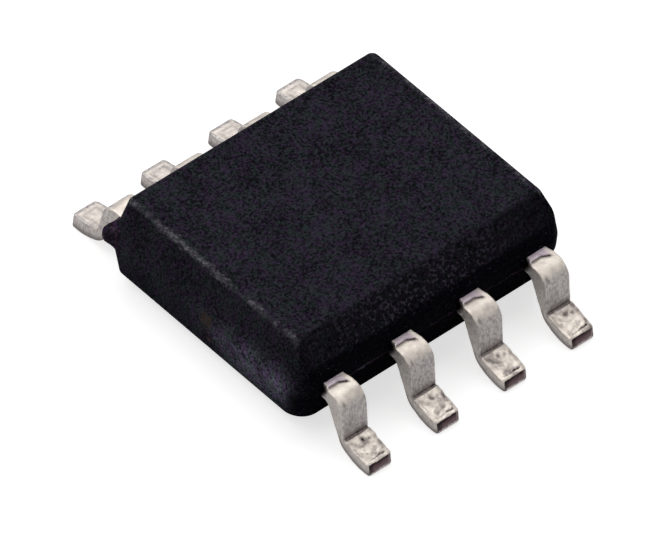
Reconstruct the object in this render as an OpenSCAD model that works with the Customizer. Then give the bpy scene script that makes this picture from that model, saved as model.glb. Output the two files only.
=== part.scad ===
// Eight-lead small-outline package of an operational amplifier: a moulded body on
// gull-wing leads, with the paddle, the die and the bond wires that it encloses.
//
// X runs along the rows of leads, Y across them, and +Z is up. The origin lies on
// the seating plane, below the middle of the lead frame. The side with the index
// bevel faces -Y and carries leads 1 to 4 towards +X; leads 5 to 8 come back along +Y.

/* [Moulded body] */
// Length along the rows of leads, at the band where the mould halves meet
body_length = 4.92; // [4.8:0.01:6.2]
// Width across the rows of leads, at the same band
body_width = 3.94; // [3.7:0.01:5.0]
// Height of the body from its underside to its top face
body_height = 1.41; // [1.2:0.01:1.8]
// Gap between the underside and the seating plane
standoff = 0.16; // [0.1:0.01:0.25]
// How far each side leans in between the band and the top face
top_inset = 0.15; // [0.08:0.01:0.2]
// How far each side leans in between the band and the underside
bottom_inset = 0.13; // [0.06:0.01:0.2]
// Plan radius of the upright corners at the band
corner_radius = 0.25; // [0.22:0.01:0.35]
// Width of the index bevel on the top face, cut at 45 degrees
index_bevel = 0.28; // [0.2:0.01:0.4]
// How far the mould closed off the middle of the lead frame, towards leads 5 to 8
mold_offset = 0.04; // [0:0.01:0.08]
// Diameter of the ejector pin mark in the underside
ejector_mark_diameter = 1.0; // [0.6:0.05:1.5]
// Depth of the ejector pin mark
ejector_mark_depth = 0.03; // [0.01:0.005:0.06]

/* [Gate remnant] */
// How far the broken moulding gate stands out of its corner
gate_reach = 0.17; // [0.1:0.01:0.3]
// Width of the remnant where it joins the corner
gate_root_width = 0.26; // [0.2:0.01:0.35]
// Width of the remnant at its broken end
gate_tip_width = 0.13; // [0.08:0.01:0.18]
// Height of the remnant where it joins the corner
gate_root_height = 0.3; // [0.2:0.01:0.4]
// Height of the remnant at its broken end
gate_tip_height = 0.1; // [0.06:0.01:0.16]

/* [Leads] */
// Spacing of neighbouring leads
lead_pitch = 1.27; // [1.2:0.01:1.3]
// Width of a lead from its trimmed shoulder to its toe
lead_width = 0.43; // [0.33:0.01:0.55]
// Width of a lead where it leaves the body
neck_width = 0.35; // [0.25:0.01:0.42]
// Thickness of the lead frame sheet
sheet_thickness = 0.21; // [0.15:0.01:0.26]
// How far a lead stands out from the nearer face of the body to its toe
lead_reach = 1.07; // [0.95:0.01:1.4]
// Distance from the body over which a lead widens to its full width
trim_length = 0.12; // [0.05:0.01:0.18]
// Flat run of a lead from the body to its first bend
shoulder_length = 0.21; // [0.14:0.01:0.3]
// Radius on the inner side of both bends
bend_radius = 0.07; // [0.04:0.01:0.12]
// Lean of the leg away from upright, in degrees
leg_lean = 11; // [4:1:18]
// Height of the lead frame's lower face above the body's underside
frame_height = 0.56; // [0.5:0.01:0.6]

/* [Lead frame inside the body] */
// Length of the narrow neck that keys a lead into the body
neck_length = 0.13; // [0.08:0.01:0.15]
// Width of a finger behind its neck
finger_width = 0.52; // [0.46:0.01:0.6]
// How far a finger's tip reaches sideways towards the middle of the body
finger_reach = 0.4; // [0.3:0.01:0.45]
// Depth of the bonding area at a finger's tip
finger_tip_depth = 0.24; // [0.18:0.01:0.28]
// Gap between the paddle's edge and the fingers' tips
finger_gap = 0.25; // [0.15:0.01:0.3]
// Length of the paddle
paddle_length = 2.8; // [2.0:0.05:2.9]
// Width of the paddle
paddle_width = 2.1; // [1.6:0.05:2.2]
// How far the paddle is pressed down below the leads
paddle_downset = 0.2; // [0.1:0.01:0.24]
// Width of the tie bars that hold the paddle
tie_bar_width = 0.3; // [0.2:0.01:0.5]
// Width of a tie bar's cut end in the end face
tie_bar_end_width = 0.2; // [0.1:0.01:0.25]

/* [Die] */
// Length of the silicon die
die_length = 1.5; // [1.0:0.05:2.0]
// Width of the silicon die
die_width = 1.3; // [1.0:0.05:1.6]
// Thickness of the silicon die
die_thickness = 0.25; // [0.15:0.01:0.3]
// Width of the sawn street around the die's circuit
street_width = 0.03; // [0.02:0.005:0.05]
// Step from the circuit down to the street
street_depth = 0.008; // [0.004:0.001:0.02]
// Side of a square bond pad
pad_size = 0.11; // [0.1:0.005:0.13]
// Height of a bond pad above the circuit
pad_height = 0.004; // [0.002:0.001:0.01]
// Distance from the die's edge to the middle of a pad
pad_edge = 0.11; // [0.1:0.005:0.15]
// Distance from the die's middle to the pads of the inner leads, along X
inner_pad_offset = 0.22; // [0.15:0.01:0.28]
// Distance from the die's middle to the pads of the outer leads, along Y
outer_pad_offset = 0.26; // [0.15:0.01:0.3]
// Thickness of the adhesive under the die
attach_thickness = 0.025; // [0.01:0.005:0.04]
// How far the adhesive spreads past the die
attach_spread = 0.08; // [0.04:0.01:0.15]

/* [Bond wires] */
// Diameter of a bond wire
wire_diameter = 0.03; // [0.02:0.001:0.04]
// Diameter of the ball at the pad
ball_diameter = 0.08; // [0.06:0.005:0.09]
// Height of the ball
ball_height = 0.03; // [0.02:0.005:0.04]
// Height of a wire's loop above its pad
loop_height = 0.17; // [0.13:0.01:0.2]
// Distance from the finger's edges to the end of the flattened stitch
stitch_edge = 0.1; // [0.08:0.01:0.14]
// Length of the stitch
stitch_length = 0.06; // [0.04:0.01:0.07]
// Width of the stitch
stitch_width = 0.06; // [0.04:0.01:0.08]
// Thickness of the stitch
stitch_thickness = 0.012; // [0.008:0.001:0.02]

/* [Hidden] */

LEADS = [1:8];
LEADS_PER_SIDE = 4;
// Number above 12, so that every round shape is a true circle
$fn = 64;
// Sides of a bond wire's section
WIRE_SIDES = 8;
// Overshoot of a cutting shape past the face that it cuts
over = 0.5;

// Heights above the seating plane
body_top = standoff + body_height;
frame_bottom = standoff + frame_height;
frame_top = frame_bottom + sheet_thickness;
paddle_top = frame_top - paddle_downset;
circuit_top = paddle_top + attach_thickness + die_thickness;
pad_top = circuit_top + pad_height;

// Distances from the middle of the lead frame, outwards along a lead. A lead leaves
// the body at exit_out on the side that the mould's offset brings nearer.
exit_out = body_width / 2 - mold_offset;
toe_out = exit_out + lead_reach;
finger_tip_out = paddle_width / 2 + finger_gap;
neck_out = exit_out - neck_length;

// The two bends of a lead: how far out their centres lie, how far the heel's centre
// lies below the shoulder's, and the length of the straight leg between them
outer_radius = bend_radius + sheet_thickness;
bend_drop = frame_top - outer_radius - sheet_thickness - bend_radius;
shoulder_out = exit_out + shoulder_length;
heel_out = shoulder_out
    + (bend_radius + outer_radius + bend_drop * sin(leg_lean)) / cos(leg_lean);
leg_length = (heel_out - shoulder_out) * sin(leg_lean) + bend_drop * cos(leg_lean);

// Side of the body that a lead leaves: -1 for leads 1 to 4, +1 for leads 5 to 8
function side(pin) = pin <= LEADS_PER_SIDE ? -1 : 1;
// Place of a lead along its row, counted from the -X end
function column(pin) = pin <= LEADS_PER_SIDE ? pin - 1 : 2 * LEADS_PER_SIDE - pin;
function lead_x(pin) = (column(pin) - (LEADS_PER_SIDE - 1) / 2) * lead_pitch;
// Direction along X from a lead towards the middle of the body
function inwards(pin) = lead_x(pin) < 0 ? 1 : -1;
function is_outer(pin) = column(pin) == 0 || column(pin) == LEADS_PER_SIDE - 1;

// Middle of the bond pad that serves a lead
function pad_at(pin) = is_outer(pin)
    ? [-inwards(pin) * (die_length / 2 - pad_edge), side(pin) * outer_pad_offset]
    : [-inwards(pin) * inner_pad_offset, side(pin) * (die_width / 2 - pad_edge)];
// End of the stitch on a lead's finger
function stitch_at(pin) = [
    lead_x(pin) + inwards(pin) * (finger_reach - stitch_edge),
    side(pin) * (finger_tip_out + stitch_edge)
];

// ---- Moulded body ----

// Closed outline from a line of points and its mirror image below the X axis
module mirrored_outline(line) {
    last = len(line) - 1;
    polygon(concat(line, [for (i = [last:-1:0]) [line[i].x, -line[i].y]]));
}

// Outline of the body at its band
module band_outline() {
    core = [body_length - 2 * corner_radius, body_width - 2 * corner_radius];
    square([core.x, body_width], center = true);
    square([body_length, core.y], center = true);
    for (sx = [-1, 1], sy = [-1, 1])
        translate([sx * core.x / 2, sy * core.y / 2])
            circle(r = corner_radius);
}

// Half of the body on one side of the band, growing up and leaning in by inset
module leaning_half(height, inset) {
    core = [body_length - 2 * corner_radius, body_width - 2 * corner_radius];
    along_x = [
        [-body_length / 2, 0], [body_length / 2, 0],
        [body_length / 2 - inset, height], [-body_length / 2 + inset, height]
    ];
    along_y = [
        [-body_width / 2, 0], [body_width / 2, 0],
        [body_width / 2 - inset, height], [-body_width / 2 + inset, height]
    ];
    rotate([90, 0, 0])
        linear_extrude(core.y, center = true)
            polygon(along_x);
    rotate([90, 0, 90])
        linear_extrude(core.x, center = true)
            polygon(along_y);
    for (sx = [-1, 1], sy = [-1, 1])
        translate([sx * core.x / 2, sy * core.y / 2, 0])
            cylinder(h = height, r1 = corner_radius, r2 = corner_radius - inset);
}

// Wedge that the index bevel takes off the top edge of leads 1 to 4
module bevel_cut() {
    edge = -body_width / 2 + top_inset + index_bevel;
    reach = index_bevel + top_inset + over;
    rotate([90, 0, 90])
        linear_extrude(body_length + 2 * over, center = true)
            polygon([
                [edge + over, body_top + over],
                [edge - reach, body_top + over],
                [edge - reach, body_top - reach]
            ]);
}

// Stub of moulding compound left where the gate was broken off the corner by lead 8
module gate_remnant() {
    // Distances from the corner's centre: broken end, meeting with the corner, and root
    tip = corner_radius + gate_reach;
    meeting = corner_radius * cos(asin(gate_root_width / corner_radius / 2));
    root = corner_radius / 2;
    // Outline from above, and from the side
    plan = [
        [root, gate_root_width / 2], [meeting, gate_root_width / 2],
        [tip, gate_tip_width / 2]
    ];
    profile = [
        [root, gate_root_height / 2], [meeting, gate_root_height / 2],
        [tip, gate_tip_height / 2]
    ];
    // Heading from the middle of the body towards the corner between -X and +Y
    heading = 135;
    translate([
        corner_radius - body_length / 2, body_width / 2 - corner_radius,
        frame_bottom + sheet_thickness / 2
    ])
        rotate([0, 0, heading])
            intersection() {
                linear_extrude(gate_root_height, center = true)
                    mirrored_outline(plan);
                rotate([90, 0, 0])
                    linear_extrude(gate_root_width, center = true)
                        mirrored_outline(profile);
            }
}

// Outer form of the body, without the room for what it encloses
module body_form() {
    difference() {
        union() {
            translate([0, 0, frame_bottom])
                linear_extrude(sheet_thickness)
                    band_outline();
            translate([0, 0, frame_top])
                leaning_half(body_height - frame_height - sheet_thickness, top_inset);
            translate([0, 0, frame_bottom])
                mirror([0, 0, 1])
                    leaning_half(frame_height, bottom_inset);
            gate_remnant();
        }
        bevel_cut();
        translate([0, 0, standoff - over])
            cylinder(h = over + ejector_mark_depth, d = ejector_mark_diameter);
    }
}

module mold_body() {
    color([0.1, 0.1, 0.11])
        difference() {
            translate([0, mold_offset, 0])
                body_form();
            for (pin = LEADS) {
                lead(pin);
                bond_wire(pin);
            }
            die_paddle();
            die_attach();
            die();
        }
}

// ---- Leads ----

// Half of a lead's section, around the centre of one bend: a level run that ends
// above the centre, the bend, and the upper part of the leg that hangs from it
module half_section(level_length) {
    reach = 2 * outer_radius;
    // A little over half of the leg, so that the two halves overlap in its middle
    leg_part = 0.6 * leg_length;
    translate([-level_length, bend_radius])
        square([level_length, sheet_thickness]);
    intersection() {
        difference() {
            circle(r = outer_radius);
            circle(r = bend_radius);
        }
        square(reach);
        rotate(leg_lean)
            translate([-reach, 0])
                square([2 * reach, reach]);
    }
    rotate(leg_lean)
        translate([bend_radius, -leg_part])
            square([sheet_thickness, leg_part]);
}

// Section of a lead from its finger's tip to its toe: outwards along X, up along Y.
// The heel's half is the shoulder's half turned upside down. It moves out in two
// steps, because a single length carries too few digits for the halves to line up.
module lead_section() {
    coarse = round(1000 * heel_out) / 1000;
    translate([shoulder_out, frame_top - outer_radius])
        half_section(shoulder_out - finger_tip_out);
    translate([coarse, sheet_thickness + bend_radius])
        translate([heel_out - coarse, 0])
            rotate(180)
                half_section(toe_out - heel_out);
}

// Outline of a lead from above: towards the middle of the body along X, outwards
// along Y
module lead_outline() {
    narrow = neck_width / 2;
    wide = lead_width / 2;
    finger = finger_width / 2;
    widening = finger - narrow;
    polygon([
        [-wide, toe_out], [-wide, exit_out + trim_length],
        [-narrow, exit_out], [-narrow, neck_out],
        [-finger, neck_out - widening], [-finger, finger_tip_out],
        [finger_reach, finger_tip_out],
        [finger_reach, finger_tip_out + finger_tip_depth],
        [narrow, neck_out], [narrow, exit_out],
        [wide, exit_out + trim_length], [wide, toe_out]
    ]);
}

module lead(pin) {
    color([0.78, 0.76, 0.72])
        translate([lead_x(pin), 0, 0])
            mirror([inwards(pin) < 0 ? 1 : 0, 0, 0])
                mirror([0, side(pin) < 0 ? 1 : 0, 0])
                    intersection() {
                        rotate([90, 0, 90])
                            linear_extrude(2 * finger_reach + finger_width, center = true)
                                lead_section();
                        linear_extrude(frame_top + over)
                            lead_outline();
                    }
}

// ---- Paddle and die ----

// Section of the paddle and its two tie bars, along the body
module paddle_section() {
    // The tie bars slope down at 45 degrees over this run. The lower edge of a slope
    // lies further out, so that the bar keeps its thickness.
    slope = paddle_downset;
    shift = sheet_thickness * tan(45 / 2);
    end = body_length / 2;
    foot = paddle_length / 2;
    upper = [[end, frame_top], [foot + slope, frame_top], [foot, paddle_top]];
    lower = [
        [end, frame_bottom], [foot + slope + shift, frame_bottom],
        [foot + shift, paddle_top - sheet_thickness]
    ];
    polygon(concat(
        upper, [for (i = [2:-1:0]) [-upper[i].x, upper[i].y]],
        [for (p = lower) [-p.x, p.y]], [for (i = [2:-1:0]) lower[i]]
    ));
}

// Outline of the paddle and its two tie bars from above
module paddle_outline() {
    bar = tie_bar_width / 2;
    cut = tie_bar_end_width / 2;
    end = body_length / 2;
    keyed = end - neck_length;
    square([paddle_length, paddle_width], center = true);
    polygon([
        [-end, -cut], [-keyed, -bar], [keyed, -bar], [end, -cut],
        [end, cut], [keyed, bar], [-keyed, bar], [-end, cut]
    ]);
}

module die_paddle() {
    color([0.72, 0.45, 0.3])
        intersection() {
            rotate([90, 0, 0])
                linear_extrude(paddle_width + over, center = true)
                    paddle_section();
            linear_extrude(frame_top + over)
                paddle_outline();
        }
}

// Section of the adhesive, whose sides slope up to the edges of the die
module attach_section(die_side) {
    top = die_side / 2;
    foot = top + attach_spread;
    polygon([[-foot, 0], [foot, 0], [top, attach_thickness], [-top, attach_thickness]]);
}

module die_attach() {
    color([0.7, 0.7, 0.68])
        translate([0, 0, paddle_top])
            intersection() {
                rotate([90, 0, 0])
                    linear_extrude(die_width + 2 * attach_spread, center = true)
                        attach_section(die_length);
                rotate([90, 0, 90])
                    linear_extrude(die_length + 2 * attach_spread, center = true)
                        attach_section(die_width);
            }
}

module die() {
    street_top = circuit_top - street_depth;
    color([0.35, 0.36, 0.42]) {
        translate([0, 0, street_top - (die_thickness - street_depth) / 2])
            cube([die_length, die_width, die_thickness - street_depth], center = true);
        translate([0, 0, street_top])
            linear_extrude(street_depth)
                square([die_length - 2 * street_width, die_width - 2 * street_width], center = true);
        for (pin = LEADS)
            translate([pad_at(pin).x, pad_at(pin).y, circuit_top])
                linear_extrude(pad_height)
                    square(pad_size, center = true);
    }
}

// ---- Bond wires ----

// Stations of a wire over a run to its stitch. Each is the distance along the run,
// the height, the heading above level, and half the section's height and width.
function wire_stations(run) =
    let (
        r = wire_diameter / 2,
        ball = ball_diameter / 2,
        // Radius of the ball where it is pressed flat, at its two ends
        ball_end = 0.85 * ball,
        // A section's flat underside is this share of its half height below the middle
        flat = cos(180 / WIRE_SIDES),
        apex = pad_top + loop_height,
        thin = stitch_thickness / 2,
        start = run - stitch_length
    ) [
        [0, pad_top, 90, ball_end, ball_end],
        [0, pad_top + 0.3 * ball_height, 90, ball, ball],
        [0, pad_top + 0.7 * ball_height, 90, ball_end, ball_end],
        [0, pad_top + ball_height, 90, r, r],
        [0, pad_top + 0.6 * loop_height, 85, r, r],
        [r, apex - r, 55, r, r],
        [4 * r, apex, 8, r, r],
        [0.45 * start, apex - 0.1 * loop_height, -10, r, r],
        [start - 5 * r, frame_top + 5 * r, -38, r, r],
        [start - 2 * r, frame_top + 2.5 * r, -32, r, r],
        [start, frame_top + thin * flat, 0, thin, 1.2 * r],
        [run, frame_top + thin * flat, 0, thin, stitch_width / 2]
    ];

function wire_ring(station) =
    let (
        along = station[0], height = station[1], heading = station[2],
        half_height = station[3], half_width = station[4]
    ) [
        for (k = [0:WIRE_SIDES - 1])
            let (a = (k + 0.5) * 360 / WIRE_SIDES)
                [
                    along - half_height * cos(a) * sin(heading),
                    half_width * sin(a),
                    height + half_height * cos(a) * cos(heading)
                ]
    ];

// Faces that join the rings of a closed tube, with its two ends
function tube_faces(rings) = concat(
    [[for (k = [WIRE_SIDES - 1:-1:0]) k]],
    [
        for (i = [0:rings - 2], k = [0:WIRE_SIDES - 1])
            let (next = (k + 1) % WIRE_SIDES)
                [
                    i * WIRE_SIDES + k, i * WIRE_SIDES + next,
                    (i + 1) * WIRE_SIDES + next, (i + 1) * WIRE_SIDES + k
                ]
    ],
    [[for (k = [0:WIRE_SIDES - 1]) (rings - 1) * WIRE_SIDES + k]]
);

module bond_wire(pin) {
    from = pad_at(pin);
    step = stitch_at(pin) - from;
    stations = wire_stations(norm(step));
    color([0.85, 0.68, 0.3])
        translate([from.x, from.y, 0])
            rotate([0, 0, atan2(step.y, step.x)])
                polyhedron(
                    points = [for (s = stations) each wire_ring(s)],
                    faces = tube_faces(len(stations))
                );
}

mold_body();
lead(1);  // lead_1
lead(2);  // lead_2
lead(3);  // lead_3
lead(4);  // lead_4
lead(5);  // lead_5
lead(6);  // lead_6
lead(7);  // lead_7
lead(8);  // lead_8
die_paddle();
die_attach();
die();
bond_wire(1);  // bond_wire_1
bond_wire(2);  // bond_wire_2
bond_wire(3);  // bond_wire_3
bond_wire(4);  // bond_wire_4
bond_wire(5);  // bond_wire_5
bond_wire(6);  // bond_wire_6
bond_wire(7);  // bond_wire_7
bond_wire(8);  // bond_wire_8
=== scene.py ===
import math

import bmesh
import bpy
from mathutils import Matrix, Vector, noise


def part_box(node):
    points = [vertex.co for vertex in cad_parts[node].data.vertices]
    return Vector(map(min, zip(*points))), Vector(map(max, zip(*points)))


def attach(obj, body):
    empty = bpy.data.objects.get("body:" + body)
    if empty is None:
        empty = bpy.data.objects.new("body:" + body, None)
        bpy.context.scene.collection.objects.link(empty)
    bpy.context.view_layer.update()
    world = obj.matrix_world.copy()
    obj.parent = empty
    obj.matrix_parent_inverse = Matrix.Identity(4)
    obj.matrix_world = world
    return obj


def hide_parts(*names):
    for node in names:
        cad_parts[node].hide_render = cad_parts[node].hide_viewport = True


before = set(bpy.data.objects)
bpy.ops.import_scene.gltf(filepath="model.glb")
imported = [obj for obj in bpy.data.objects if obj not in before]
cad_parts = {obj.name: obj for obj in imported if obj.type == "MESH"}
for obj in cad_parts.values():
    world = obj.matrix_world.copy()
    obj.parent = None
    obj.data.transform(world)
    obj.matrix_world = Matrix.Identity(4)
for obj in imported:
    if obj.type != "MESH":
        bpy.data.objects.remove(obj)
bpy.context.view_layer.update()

# Lengths are in mm, as on a drawing of the package, and each mesh is scaled to metres
# when it is made. The near row is leads 1 to 4, on the -Y side with the index bevel,
# and the far row is leads 5 to 8.
MM = 0.001

# The frame's own sizes
BODY_LOW, BODY_HIGH = (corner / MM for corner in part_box("mold_body"))
LEAD_LOW, LEAD_HIGH = (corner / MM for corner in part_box("lead_1"))
PADDLE_LOW, PADDLE_HIGH = (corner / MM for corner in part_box("die_paddle"))
BODY_LENGTH = PADDLE_HIGH.x - PADDLE_LOW.x
STANDOFF = BODY_LOW.z
BODY_TOP = BODY_HIGH.z
FRAME_TOP = LEAD_HIGH.z
TOE_OUT = -LEAD_LOW.y
FINGER_TIP_OUT = -LEAD_HIGH.y

# Sizes that the nodes' boxes don't give
BODY_WIDTH = 3.94
MOLD_OFFSET = 0.04
SHEET = 0.21
FRAME_BOTTOM = FRAME_TOP - SHEET
TOP_INSET = 0.15
BOTTOM_INSET = 0.13
CORNER_RADIUS = 0.25
INDEX_BEVEL = 0.28
EJECTOR_RADIUS = 0.5
EJECTOR_DEPTH = 0.03
TIE_BAR_END = 0.2
EXIT_OUT = BODY_WIDTH / 2 - MOLD_OFFSET
LEAD_PITCH = 1.27
UP = Vector((0, 0, 1))


# ---- Helpers for shapes ----

def bell(value, centre, width):
    """1 at the centre, falling smoothly to 0 about a width away."""
    t = (value - centre) / width
    return math.exp(-2 * t * t)


def ramp(value, low, high):
    """Smooth rise from 0 at the low value to 1 at the high one."""
    t = min(1, max(0, (value - low) / (high - low)))
    return t * t * (3 - 2 * t)


def between(value, low, high, soft):
    """1 between two values, with edges that are soft on both sides."""
    return ramp(value, low - soft, low + soft) * ramp(-value, -high - soft, -high + soft)


def wobble(point, size, seed):
    """Smooth random number from -1 to 1 at a point, with features about size mm wide."""
    return noise.noise(Vector(point) / size + Vector((seed, 2.7 * seed, -seed)))


def eased_end(value, end, run):
    """How far a value is into the last run before an end, and how far a quarter circle
    has turned in there. Both go from 0 to 1."""
    share = max(0.0, (value - end + run) / run)
    return share, 1 - math.sqrt(max(0.0, 1 - share * share))


def tube_faces(rings, around, first=0):
    """Faces that join rings of points, each with the same number of points around."""
    faces = []
    for i in range(rings - 1):
        here, there = first + i * around, first + (i + 1) * around
        for k in range(around):
            n = (k + 1) % around
            faces.append((here + k, here + n, there + n, there + k))
    return faces


def add_object(name, data):
    piece = bpy.data.objects.new(name, data)
    bpy.context.scene.collection.objects.link(piece)
    return piece


def new_object(name, vertices, faces, smooth=True):
    mesh = bpy.data.meshes.new(name)
    mesh.from_pydata([tuple(Vector(v) * MM) for v in vertices], [], faces)
    piece = add_object(name, mesh)
    bm = bmesh.new()
    bm.from_mesh(mesh)
    bmesh.ops.recalc_face_normals(bm, faces=bm.faces)
    bm.to_mesh(mesh)
    bm.free()
    mesh.polygons.foreach_set("use_smooth", [smooth] * len(mesh.polygons))
    mesh.update()
    return piece


def add_attribute(mesh, name, values):
    layer = mesh.attributes.new(name, "FLOAT", "POINT")
    layer.data.foreach_set("value", values)


# ---- Materials ----

class Nodes:
    """A node tree, with short calls for its nodes."""

    def __init__(self, tree):
        self.tree = tree

    def add(self, kind, **inputs):
        node = self.tree.nodes.new(kind)
        for name, value in inputs.items():
            node.inputs[name.replace("_", " ")].default_value = value
        return node

    def link(self, source, target):
        self.tree.links.new(source, target)

    def feed(self, sockets, values):
        """Sets each socket to its number or colour, or links it to its source."""
        for socket, value in zip(sockets, values):
            if isinstance(value, (int, float)):
                socket.default_value = value
            elif isinstance(value, tuple):
                socket.default_value = (*value, 1)
            else:
                self.link(value, socket)

    def math(self, operation, a, b=0.0, clamp=False):
        node = self.add("ShaderNodeMath")
        node.operation = operation
        node.use_clamp = clamp
        self.feed(node.inputs, (a, b))
        return node.outputs[0]

    def product(self, result, *factors):
        for factor in factors:
            result = self.math("MULTIPLY", result, factor)
        return result

    def weighted(self, *terms):
        """Sum of (value, weight) pairs."""
        result, *parts = [self.math("MULTIPLY", value, weight) for value, weight in terms]
        for part in parts:
            result = self.math("ADD", result, part)
        return result

    def distance(self, a, b):
        return self.math("SQRT", self.math("ADD", self.product(a, a), self.product(b, b)))

    def parts(self, vector):
        node = self.add("ShaderNodeSeparateXYZ")
        self.link(vector, node.inputs[0])
        return node.outputs

    def seen(self):
        """1 for the rays of the camera, reflections and transmission, 0 for the rest."""
        rays = self.add("ShaderNodeLightPath").outputs
        direct = self.math("ADD", rays["Is Camera Ray"], rays["Is Glossy Ray"], clamp=True)
        return self.math("ADD", direct, rays["Is Transmission Ray"], clamp=True)


class Material(Nodes):
    def __init__(self, name):
        self.material = bpy.data.materials.new(name)
        self.material.use_nodes = True
        super().__init__(self.material.node_tree)
        self.shader = self.tree.nodes["Principled BSDF"]
        self.where = self.add("ShaderNodeTexCoord").outputs["Object"]

    def set(self, socket, value):
        """Sets an input of the shader to a number, a colour or a source."""
        self.feed([self.shader.inputs[socket]], [value])

    def axis(self, name):
        """Position along an axis of the frame, in mm."""
        return self.math("MULTIPLY", self.parts(self.where)[name], 1 / MM)

    def attribute(self, name):
        node = self.add("ShaderNodeAttribute")
        node.attribute_name = name
        return node.outputs["Fac"]

    def noise(self, size, detail=3.0, roughness=0.5, stretch=(1.0, 1.0, 1.0), offset=0.0):
        """Noise whose features are about size mm across; stretch scales its axes."""
        mapping = self.add("ShaderNodeMapping", Location=(offset * MM,) * 3, Scale=stretch)
        self.link(self.where, mapping.inputs["Vector"])
        node = self.add("ShaderNodeTexNoise", Scale=1 / (size * MM), Detail=detail,
                        Roughness=roughness)
        self.link(mapping.outputs["Vector"], node.inputs["Vector"])
        return node.outputs["Fac"]

    def cells(self, size, randomness=1.0):
        node = self.add("ShaderNodeTexVoronoi", Scale=1 / (size * MM), Randomness=randomness)
        self.link(self.where, node.inputs["Vector"])
        return node.outputs["Distance"]

    def steps(self, value, *stops):
        """Maps a value to colours, or greys, between (position, colour) stops."""
        node = self.add("ShaderNodeValToRGB")
        elements = node.color_ramp.elements
        while len(elements) < len(stops):
            elements.new(0.5)
        for element, (position, colour) in zip(elements, stops):
            element.position = position
            if isinstance(colour, (int, float)):
                colour = (colour,) * 3
            element.color = (*colour, 1)
        self.link(value, node.inputs["Fac"])
        return node.outputs["Color"]

    def mix(self, factor, a, b, blend="MIX"):
        """Colour a with b over it, by the factor."""
        node = self.add("ShaderNodeMix")
        node.data_type = "RGBA"
        node.blend_type = blend
        self.feed((node.inputs[0], node.inputs[6], node.inputs[7]), (factor, a, b))
        return node.outputs[2]

    def rise(self, value, low, high):
        """Smooth rise from 0 to 1 between two values."""
        node = self.add("ShaderNodeMapRange", From_Min=low, From_Max=high)
        node.interpolation_type = "SMOOTHSTEP"
        self.link(value, node.inputs["Value"])
        return node.outputs["Result"]

    def fall(self, value, low, high):
        """Smooth fall from 1 to 0 between two values."""
        return self.math("SUBTRACT", 1.0, self.rise(value, low, high))

    def near(self, value, middle, reach):
        """1 at a middle value, smoothly down to 0 at a reach from it."""
        apart = self.math("ABSOLUTE", self.math("SUBTRACT", value, middle))
        return self.fall(apart, 0.0, reach)

    def bump(self, height, depth):
        """Bump of the shader's normal, depth mm where the height goes from 0 to 1."""
        node = self.add("ShaderNodeBump", Distance=depth * MM, Strength=1.0)
        self.link(height, node.inputs["Height"])
        self.link(node.outputs["Normal"], self.shader.inputs["Normal"])


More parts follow.
